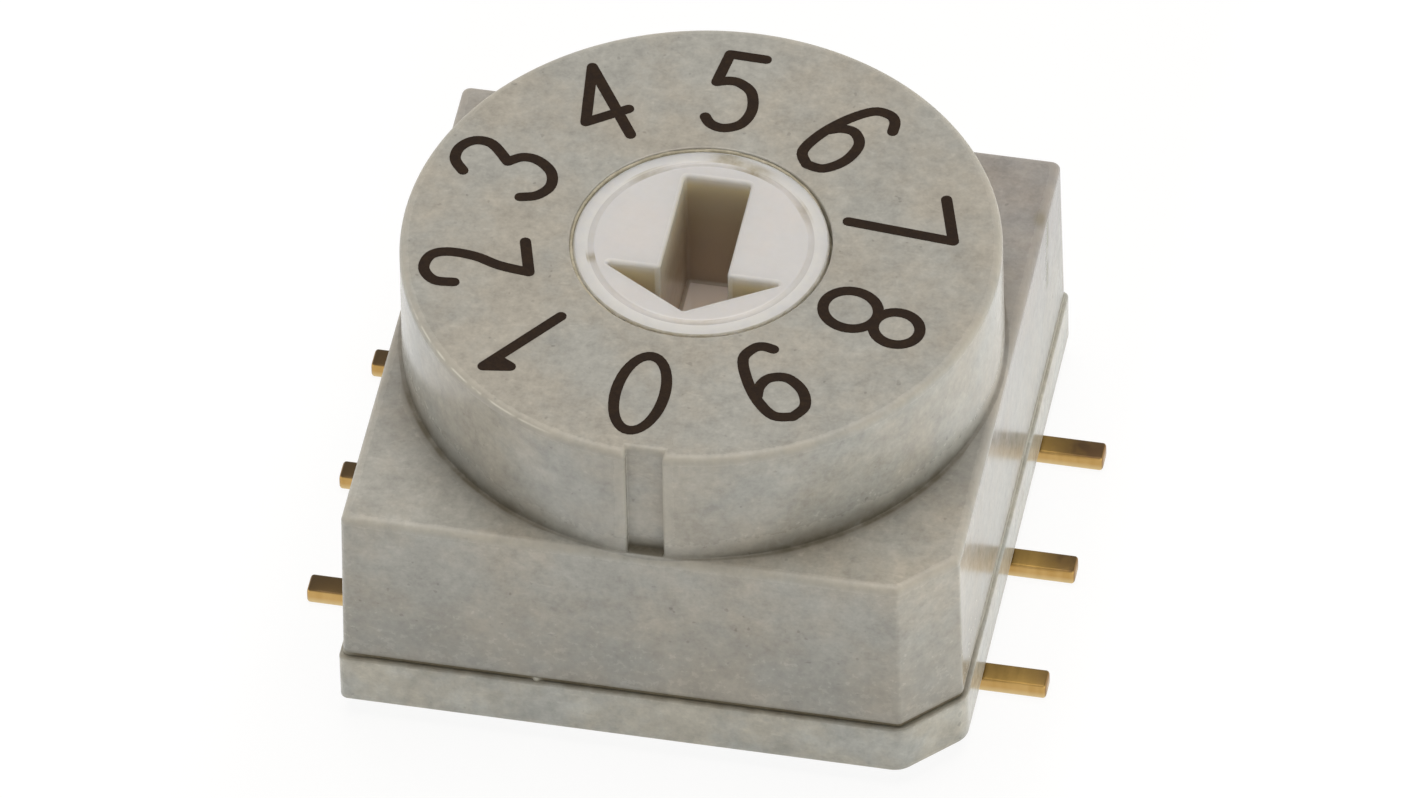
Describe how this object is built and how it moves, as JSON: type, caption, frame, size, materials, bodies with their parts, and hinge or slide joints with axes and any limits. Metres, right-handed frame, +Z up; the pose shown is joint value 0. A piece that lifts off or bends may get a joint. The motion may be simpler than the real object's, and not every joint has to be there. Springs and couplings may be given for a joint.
{
  "type": "rotary dip switch",
  "caption": "Square sealed surface-mount rotary coded switch with a round numbered dial, an arrow-slotted rotor, a cut corner and flat gold terminals on two sides.",
  "frame": {"origin": "under the middle of the case, level with the undersides of the terminals' feet", "axes": "+Z up along the rotor's axis, out of the dial; X across the two rows of terminals; -Y towards the dial's 0 and the side with the cut corner, which lies at +X, -Y"},
  "size_m": [0.012, 0.01, 0.0066],
  "materials": {
    "base_plastic": "matt moulded, mottled grey",
    "cover_plastic": "matt moulded, mottled grey",
    "rotor_plastic": "satin moulded, off-white",
    "dial_ink": "matt printed ink",
    "gasket_rubber": "matt",
    "seal_rubber": "matt",
    "spring_steel": "bright rolled sheet",
    "terminal_gold": "gold plated, slightly worn",
    "contact_gold": "gold plated"
  },
  "bodies": {
    "case": {"base": "base_plastic", "cover": "cover_plastic", "base_gasket": "gasket_rubber", "rotor_seal": "seal_rubber", "click_spring": "spring_steel", "dial_numbers": "dial_ink", "terminal_1": "terminal_gold", "terminal_2": "terminal_gold", "terminal_4": "terminal_gold", "terminal_8": "terminal_gold", "terminal_common_left": "terminal_gold", "terminal_common_right": "terminal_gold", "contact_1": "contact_gold", "contact_2": "contact_gold", "contact_4": "contact_gold", "contact_8": "contact_gold", "contact_common_left": "contact_gold", "contact_common_right": "contact_gold"},
    "rotor": {"rotor": "rotor_plastic", "code_disc": "contact_gold"}
  },
  "joints": [
    {"name": "rotor_turn", "type": "hinge", "parent": "case", "child": "rotor", "pos_m": [0, 0, 0.005], "axis": [0, 0, 1], "continuous": true, "deforming": ["click_spring"]}
  ]
}
